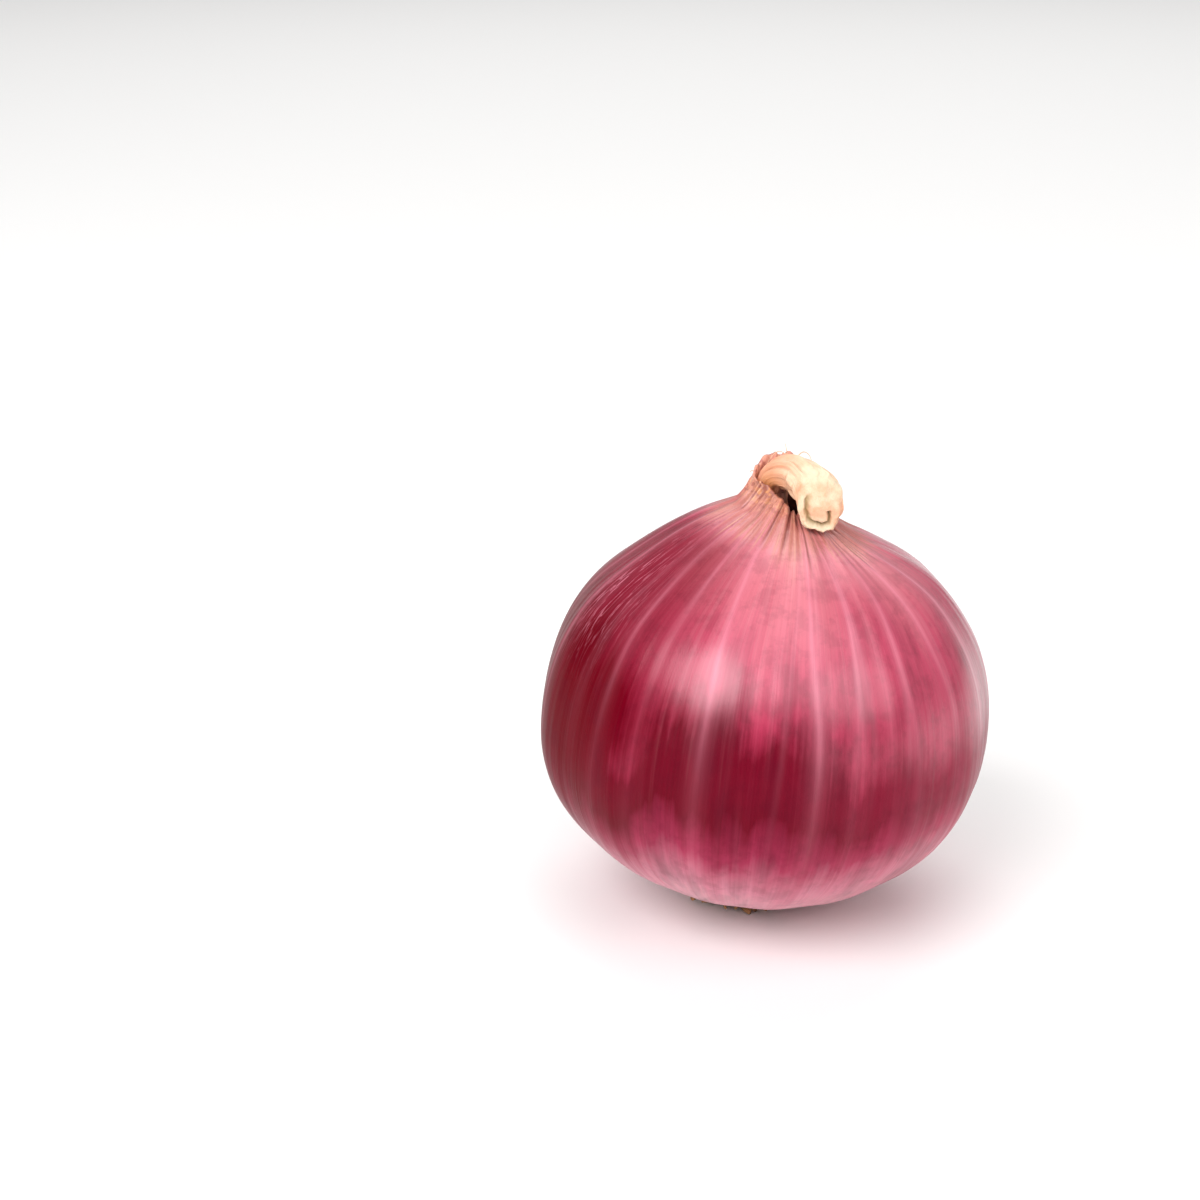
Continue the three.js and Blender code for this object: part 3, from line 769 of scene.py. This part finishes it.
def make_bulb():
    """The outline turned about the axis, each point moved out by lobes, ribs, fine ridges and creases.

    The tilts then move it up. Above the collar the skin goes on to the torn lip and back down into the
    well, and below the root ring it turns up into the hollow over the root plate.
    """
    angle = np.linspace(-math.pi, math.pi, BULB_COLUMNS, endpoint=False)[None, :]
    radius, height, share = skin_outline()
    relief = RIB_DEPTH * np.cos(RIB_COUNT * angle + RIB_WANDER * np.sin(angle))
    for count, depth, turn in LOBES:
        relief = relief + depth * np.cos(count * angle + turn)
    relief = relief + FINE_RIDGE_DEPTH * ripple(angle, share, *FINE_RIDGES)
    relief = relief * smoothstep(ROOT_RING[0], 2 * ROOT_RING[0], radius)
    near_neck = smoothstep(SHOULDER[1] - PLEAT_REACH, COLLAR[1], height)
    gather = pleat(angle)
    creased = creases(angle, height)
    lip_creased = creases(angle, COLLAR[1] + LIP_HIGH_RISE)
    fold = -CREASE_DEPTH * creased
    scuff = scuff_mask(angle, height)
    crinkle = SCUFF_DEPTH * scuff * ripple(angle, share, *SCUFF_CRINKLES)
    outward, upward = outline_normal(radius, height)
    skin_radius = radius + relief + near_neck * gather + outward * fold + crinkle
    tilt = EQUATOR_TILT * radius / EQUATOR[0] * np.sin(math.pi * height / COLLAR[1])
    slant = COLLAR_SLANT * smoothstep(SHOULDER[1] - SLANT_REACH, COLLAR[1], height)
    skin_height = height + np.cos(angle) * (tilt - slant) + upward * fold
    shift = CROWN_SHIFT * smoothstep(CROWN_START, COLLAR[1], height)

    crest_radius, crest_rise = lip_crest(angle)
    up = np.linspace(0, 1, LIP_ROWS)[1:, None]
    rise_over = crest_rise / np.hypot(crest_rise, COLLAR[0] - crest_radius)
    run_over = np.sqrt(1 - rise_over**2)
    lip_fold = up * smoothstep(1.0, 0.7, up) * (gather - CREASE_DEPTH * lip_creased)
    steepness = smoothstep(*LIP_STEEPNESS, crest_rise / (COLLAR[0] - crest_radius))
    inwards = 1 - (1 - up) ** (1 + LIP_BEND * steepness)
    lip_radius = skin_radius[-1:] * (1 - inwards) + crest_radius * inwards + rise_over * lip_fold
    lip_height = skin_height[-1:] + crest_rise * up + run_over * lip_fold
    down = np.linspace(0, 1, WELL_ROWS)[:, None]
    well_radius = (crest_radius - LIP_THICKNESS) * (1 - down) + WELL_RADIUS * down
    well_height = lip_height[-1:] * (1 - down) + WELL_FLOOR * down
    floor_radius = np.full((1, BULB_COLUMNS), WELL_RADIUS / 2)
    floor_height = np.full((1, BULB_COLUMNS), WELL_FLOOR)

    recess = np.array([
        (RECESS_RADIUS / 2, RECESS_CEILING),
        (RECESS_RADIUS, RECESS_CEILING),
        (RECESS_RADIUS + RECESS_EDGE, ROOT_RING[1] + RECESS_EDGE),
    ])
    recess_radius, recess_height = recess[:, :1] + 0 * angle, recess[:, 1:] + 0 * angle
    all_radius = np.concatenate([recess_radius, skin_radius, lip_radius, well_radius, floor_radius])
    all_height = np.concatenate([recess_height, skin_height, lip_height, well_height, floor_height])
    rows_below = len(recess)
    rows_above = len(all_radius) - rows_below - SKIN_ROWS
    no_rise = np.zeros((rows_below, 1))
    all_shift = np.concatenate([no_rise, shift, np.full((rows_above, 1), CROWN_SHIFT)])
    points = np.stack([all_shift + all_radius * np.cos(angle), all_radius * np.sin(angle), all_height], -1)

    grown = np.concatenate([no_rise, share, np.ones((rows_above, 1))]) + 0 * angle
    dry_base = BASE_DRYNESS * smoothstep(0.03, 0.0, share)
    dry_collar = COLLAR_DRYNESS * smoothstep(0.9, 0.985, share)
    dry = np.concatenate([
        no_rise + BASE_DRYNESS + 0 * angle,
        np.maximum(dry_collar, dry_base) + 0 * angle,
        np.clip(COLLAR_DRYNESS + (1 - COLLAR_DRYNESS) * up * crest_rise / DRIEST_LIP, 0, 1),
        np.ones((rows_above - len(up), BULB_COLUMNS)),
    ])
    above_collar = 1 + np.linspace(0, LIP_STREAK, rows_above)[:, None]
    along = np.concatenate([no_rise, share, above_collar]) + 0 * angle
    lip_creases = np.zeros((rows_above, BULB_COLUMNS))
    lip_creases[:len(up)] = CREASE_TINT * lip_creased
    # Well painted dark as shade
    well = np.ones((rows_above, BULB_COLUMNS))
    well[:len(up)] = 0
    well[len(up):len(up) + len(down)] = smoothstep(0.0, 0.6, down)
    below = np.zeros((rows_below, BULB_COLUMNS))
    above = np.zeros((rows_above, BULB_COLUMNS))
    # Side painted in shade
    deep = shaded_side_mask(angle, grown)
    around = np.stack([np.cos(angle) + 0 * along, np.sin(angle) + 0 * along, along], -1)
    masks = {
        "around": around,
        "share": grown,
        "vein": np.concatenate([below, vein_mask(angle, share), above]),
        "dryness": dry,
        "scuff": np.concatenate([below, scuff, above]),
        # Creases: partly painted shade
        "crease": np.concatenate([below, CREASE_TINT * creased, lip_creases]),
        "stain": stain_mask(points),
        "tone": tone_mask(angle, grown, deep),
        "deep": deep,
        # Side painted lighter, in its lower half
        "lit_side": LIT_SIDE_STRENGTH * facing(angle, LIT_SIDE, 6) * smoothstep(0.65, 0.5, grown),
        "well": np.concatenate([below, 0 * scuff, well]),
    }
    bulb = rings_object("bulb_skin", leaned(points), masks)
    bulb.data.materials.append(skin_finish())
    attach(bulb, "root")
    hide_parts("bulb")


# Neck

def neck_frame(along):
    """Centre, half widths, directions and bend of the neck's sections at shares along its fold.

    The bend is the curvature of the centre line, pointing to the centre of its curve.
    """
    station = spline(NECK_STATIONS, along)
    before = spline(NECK_STATIONS, along - NECK_STEP)[:, :3]
    after = spline(NECK_STATIONS, along + NECK_STEP)[:, :3]
    reach = np.linalg.norm(after - before, axis=1, keepdims=True)
    forward = (after - before) / reach
    bend = 4 * (before + after - 2 * station[:, :3]) / reach**2
    bend = bend - (bend * forward).sum(1, keepdims=True) * forward
    heading = NECK_HEADING[0] + (NECK_HEADING[1] - NECK_HEADING[0]) * along
    level = np.stack([-np.sin(heading), np.cos(heading), 0 * heading], -1)
    inward = np.cross(level, forward)
    inward /= np.linalg.norm(inward, axis=1, keepdims=True)
    sideways = np.cross(forward, inward)
    return station[:, :3], station[:, 3:4], station[:, 4:5], forward, inward, sideways, bend


def neck_reach(along, turn, calm):
    """Share of the section that the neck's skin reaches: one, less the kink inside the bend, with relief.

    The relief is furrows, slanting wrinkles and ripples. It grows in above the foot, weakens towards the
    end, and fades out at the kink and where calm falls to nothing.
    """
    from_kink = (turn_between(turn, 0) / KINK_WIDTH) ** 2 + ((along - KINK_AT) / KINK_LENGTH) ** 2
    kink = np.exp(-from_kink)
    grown = smoothstep(*WRINKLE_START, along) * (1 - WRINKLE_EASE * smoothstep(*WRINKLE_END, along))
    grown = grown * (1 - kink) * calm
    relief = -FURROW_DEPTH * np.exp(-((ripple(turn, along, *FURROWS) / FURROW_WIDTH) ** 2))
    for count, depth, twist in NECK_WRINKLES:
        relief = relief + depth * np.cos(count * turn + twist * along)
    for depth, waves in NECK_RIPPLES:
        relief = relief + depth * ripple(turn, along, *waves)
    return 1 - KINK_DEPTH * kink + relief * grown


def short_of_bend(offset, bend):
    """Offsets from the centre line, each shortened where it would pass a share of the bend's radius."""
    tightness = np.linalg.norm(bend, axis=1, keepdims=True) + 1e-9
    towards = bend / tightness
    inside = (offset * towards[:, None]).sum(-1)
    excess = np.maximum(inside - BEND_REACH / tightness, 0)
    return offset - excess[..., None] * towards[:, None]


def mouth_relief(share, turn):
    """Depth of the cut end: a rounded rim, and the hooked groove beside the rolled inner leaf.

    The groove follows the left, lower and part of the right side, and its right end hooks inwards.
    """
    top = facing(turn, math.pi, 2)
    rounding = MOUTH_ROUNDING + TOP_ROUNDING * top
    rim = rounding * smoothstep(RIM_START - TOP_RIM_WIDENING * top, 1.0, share) ** 2
    hook = smoothstep(*HOOK_TURNS, turn)
    middle = GROOVE_MIDDLE - GROOVE_HOOK * hook
    reach = smoothstep(*GROOVE_START, turn) * smoothstep(*GROOVE_END[::-1], turn)
    groove = reach * np.exp(-(((share - middle) / GROOVE_WIDTH) ** 2))
    roll = -ROLL_HEIGHT * smoothstep(*ROLL_EDGE, share)
    return rim + roll + GROOVE_DEPTH * groove, groove


def make_neck():
    """Sections carried along the fold, then over the rounded rim of the slanted cut to its middle.

    Wrinkles calm down on the inner side of the bend, where the sections come close together.
    """
    body = np.linspace(0, 1, NECK_ROWS)
    along = np.concatenate([body, np.ones(MOUTH_ROWS)])
    share = np.concatenate([np.ones(NECK_ROWS), np.linspace(1, MOUTH_MIDDLE, MOUTH_ROWS + 1)[1:]])[:, None]
    turn = np.linspace(-math.pi, math.pi, NECK_COLUMNS, endpoint=False)[None, :]
    centre, across, deep, forward, inward, sideways, bend = neck_frame(along)
    plain = (deep * np.cos(turn))[..., None] * inward[:, None]
    plain = plain + (across * np.sin(turn))[..., None] * sideways[:, None]
    calm = smoothstep(*CALM_BEND, (plain * bend[:, None]).sum(-1))
    shape = neck_reach(along[:, None], turn, calm)
    reach = share * shape
    depth, groove = mouth_relief(share, turn)
    at_end = smoothstep(*END_REACH, along)[:, None]
    slant = END_SLANT * at_end * deep * reach * np.cos(turn)
    ahead = (slant - depth * at_end)[..., None] * forward[:, None]
    points = centre[:, None] + ahead + short_of_bend(plain * reach[..., None], bend)
    on_mouth = (np.arange(len(along)) >= NECK_ROWS)[:, None]
    masks = {
        "around": np.stack([share * np.cos(turn), share * np.sin(turn), along[:, None] + 0 * turn], -1),
        # Painted shade where the neck dips in at the kink and furrows, and in the groove of the cut end
        "crease": NECK_CREASE_SHADE * smoothstep(0.97, 0.7, shape) * ~on_mouth,
        "groove": GROOVE_SHADE * groove * on_mouth,
        "tip": TIP_PALENESS * smoothstep(0.5, 0.9, along)[:, None] + 0 * turn,
        "foot": FOOT_TINT * smoothstep(0.78, 0.42, along)[:, None] + 0 * turn,
        "shade": FOOT_SHADE * smoothstep(0.6, 0.42, along)[:, None] * facing(turn, FOOT_SHADE_AT, 5),
        "stain": stain_mask(points),
    }
    neck = rings_object("neck_sheath", leaned(points), masks)
    neck.data.materials.append(neck_finish())
    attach(neck, "root")
    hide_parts("dry_neck")


def make_fibres():
    """Thin fibres that taper along their smooth paths."""
    share = np.linspace(0, 1, FIBRE_STEPS)
    paths = np.array([spline(np.array(points), share) for points in LOOSE_FIBRES])
    radii = np.broadcast_to(FIBRE_RADIUS * (1 - FIBRE_TAPER * share) * MM, paths.shape[:2])
    fibres = tubes_object("neck_fibres", leaned(paths), radii, FIBRE_SIDES)
    dry = Finish("dry_fibres", Roughness=0.8, Base_Color=CREAM)
    fibres.data.materials.append(dry.material)
    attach(fibres, "root")


# Roots

def spiral(count):
    """Even spread over a disc: distances from its middle, from 0 to 1, and angles of a golden spiral."""
    number = np.arange(count)
    return np.sqrt((number + 0.5) / count), number * math.pi * (3 - math.sqrt(5))


def foot_stubs(random):
    """Paths of the roots cut level under the plate, in millimetres: upright, their tops a little aside."""
    spread, angle = spiral(FOOT_STUB_COUNT)
    down = np.linspace(0, 1, STUB_STEPS)[None, :]
    aside = random.uniform(-FOOT_STUB_LEAN, FOOT_STUB_LEAN, (2, FOOT_STUB_COUNT, 1))
    aside = aside * smoothstep(0.7, 0.0, down)
    east = (FOOT_RADIUS * spread * np.cos(angle))[:, None] + aside[0]
    north = (FOOT_RADIUS * spread * np.sin(angle))[:, None] + aside[1]
    return np.stack([east, north, FOOT_STUB_TOP * (1 - down) + 0 * east], -1)


def splayed_stubs(random):
    """Paths of the roots round the foot, in the leaning frame: they splay, bend aside and droop."""
    spread, angle = spiral(STUB_COUNT)
    angle = angle + random.uniform(-STUB_TURN, STUB_TURN, STUB_COUNT)
    start = STUB_START + STUB_START_SPREAD * spread
    tip = start + spread**2 * random.uniform(*STUB_LENGTHS, STUB_COUNT)
    tip_angle = angle + random.uniform(-STUB_TURN, STUB_TURN, STUB_COUNT)
    step = np.linspace(0, 1, STUB_STEPS)[None, :]
    flat = start[:, None] + (tip - start)[:, None] * step
    bearing = angle[:, None] + (tip_angle - angle)[:, None] * step**2
    tip_height = (STUB_TIP + STUB_TIP_SPREAD * spread)[:, None]
    height = STUB_TOP * (1 - step) ** STUB_DROOP + tip_height * step
    return np.stack([flat * np.cos(bearing), flat * np.sin(bearing), height], -1)


def make_roots():
    """The root plate turned about the axis, the roots cut level under it and those splayed round it."""
    turn = np.linspace(-math.pi, math.pi, PLATE_COLUMNS, endpoint=False)[None, :]
    outline_radius, height = PLATE_OUTLINE[:, :1], PLATE_OUTLINE[:, 1:] + 0 * turn
    radius = outline_radius * (1 + PLATE_RIPPLE_DEPTH * ripple(turn, height / PLATE_TOP, *PLATE_RIPPLES))
    points = np.stack([radius * np.cos(turn), radius * np.sin(turn), height], -1)
    plate = rings_object("root_plate", leaned(points), {"depth": np.full(radius.shape, ROOT_SHADE)})

    random = np.random.default_rng(STUB_SEED)
    step = np.linspace(0, 1, STUB_STEPS)[None, :]
    splayed = leaned(splayed_stubs(random))
    splayed_radii = random.uniform(*STUB_RADII, (STUB_COUNT, 1)) * (1 - STUB_TAPER * step) * MM
    splayed[..., 2] = np.maximum(splayed[..., 2], splayed_radii)
    level = foot_stubs(random) * MM
    level_radii = random.uniform(*FOOT_STUB_RADII, (FOOT_STUB_COUNT, 1))
    level_radii = level_radii * (1 - FOOT_STUB_TAPER * step) * MM
    paths = np.concatenate([splayed, level])
    radii = np.concatenate([splayed_radii, level_radii])
    shade = ROOT_SHADE * (1 - step) + 0 * radii
    stubs = tubes_object("root_stubs", paths, radii, STUB_SIDES, {"depth": shade})
    finish = root_finish()
    for piece in (plate, stubs):
        piece.data.materials.append(finish)
        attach(piece, "root")
    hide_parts("root_tuft")


# Floor, light and camera

def make_floor():
    """A wide pale sheet on the floor plane."""
    corners = np.array([(-1, -1, 0), (1, -1, 0), (1, 1, 0), (-1, 1, 0)]) * FLOOR_HALF
    mesh = bpy.data.meshes.new("floor")
    mesh.from_pydata(corners, [], [(0, 1, 2, 3)])
    floor = finished("floor", mesh)
    paper = Finish("pale_floor", Roughness=0.65, Base_Color=srgb(244, 243, 242))
    floor.data.materials.append(paper.material)


def soft_light(name, azimuth, elevation, distance, size, power, behind):
    """Oval soft box at an azimuth from the front and an elevation, turned to a point at the bulb's height.

    That point is the bulb's middle, or as far behind it as is said.
    """
    lamp = bpy.data.lights.new(name, "AREA")
    lamp.shape = "ELLIPSE"
    lamp.size, lamp.size_y = size
    lamp.energy = power
    aim = Vector((0, behind, ONION_MIDDLE * MM))
    level = math.cos(math.radians(elevation))
    towards = Vector((
        level * math.sin(math.radians(azimuth)),
        -level * math.cos(math.radians(azimuth)),
        math.sin(math.radians(elevation)),
    ))
    light = bpy.data.objects.new(name, lamp)
    light.location = aim + distance * towards
    light.rotation_euler = (-towards).to_track_quat("-Z", "Y").to_euler()
    light.visible_camera = False
    bpy.context.scene.collection.objects.link(light)


def make_light():
    """Soft boxes over the front, on both sides and over the floor behind, in a dim white surround."""
    for soft_box in SOFT_BOXES:
        soft_light(*soft_box)
    world = bpy.data.worlds.new("surround")
    world.use_nodes = True
    world.node_tree.nodes["Background"].inputs["Color"].default_value = (1, 1, 1, 1)
    world.node_tree.nodes["Background"].inputs["Strength"].default_value = SURROUND_STRENGTH
    bpy.context.scene.world = world
    bpy.context.scene.view_settings.view_transform = "Standard"


def make_camera():
    """Camera at the photograph's elevation, turned so that the bulb's middle falls on its pixel."""
    middle = Vector((0, 0, ONION_MIDDLE * MM))
    sight = Vector((0, math.cos(VIEW_ELEVATION), -math.sin(VIEW_ELEVATION)))
    focal = LENS / SENSOR * PHOTO_SIZE
    right = (ONION_PIXEL[0] - PHOTO_SIZE / 2) / focal
    below = (ONION_PIXEL[1] - PHOTO_SIZE / 2) / focal
    unit = math.sqrt(1 + right * right + below * below)
    yaw = math.asin(right / unit / math.cos(VIEW_ELEVATION))
    level, drop = math.cos(VIEW_ELEVATION) * math.cos(yaw), math.sin(VIEW_ELEVATION)
    pitch = math.atan2(drop, level) - math.asin(below / unit / math.hypot(level, drop))
    data = bpy.data.cameras.new("camera")
    data.lens = LENS
    data.sensor_width = SENSOR
    data.clip_start, data.clip_end = CLIP_RANGE
    camera = bpy.data.objects.new("camera", data)
    place = middle - sight * VIEW_DISTANCE * MM
    turn = Matrix.Rotation(yaw, 4, "Z") @ Matrix.Rotation(math.pi / 2 - pitch, 4, "X")
    camera.matrix_world = Matrix.Translation(place) @ turn
    bpy.context.scene.collection.objects.link(camera)
    bpy.context.scene.camera = camera


make_camera()
make_bulb()
make_neck()
make_fibres()
make_roots()
make_floor()
make_light()
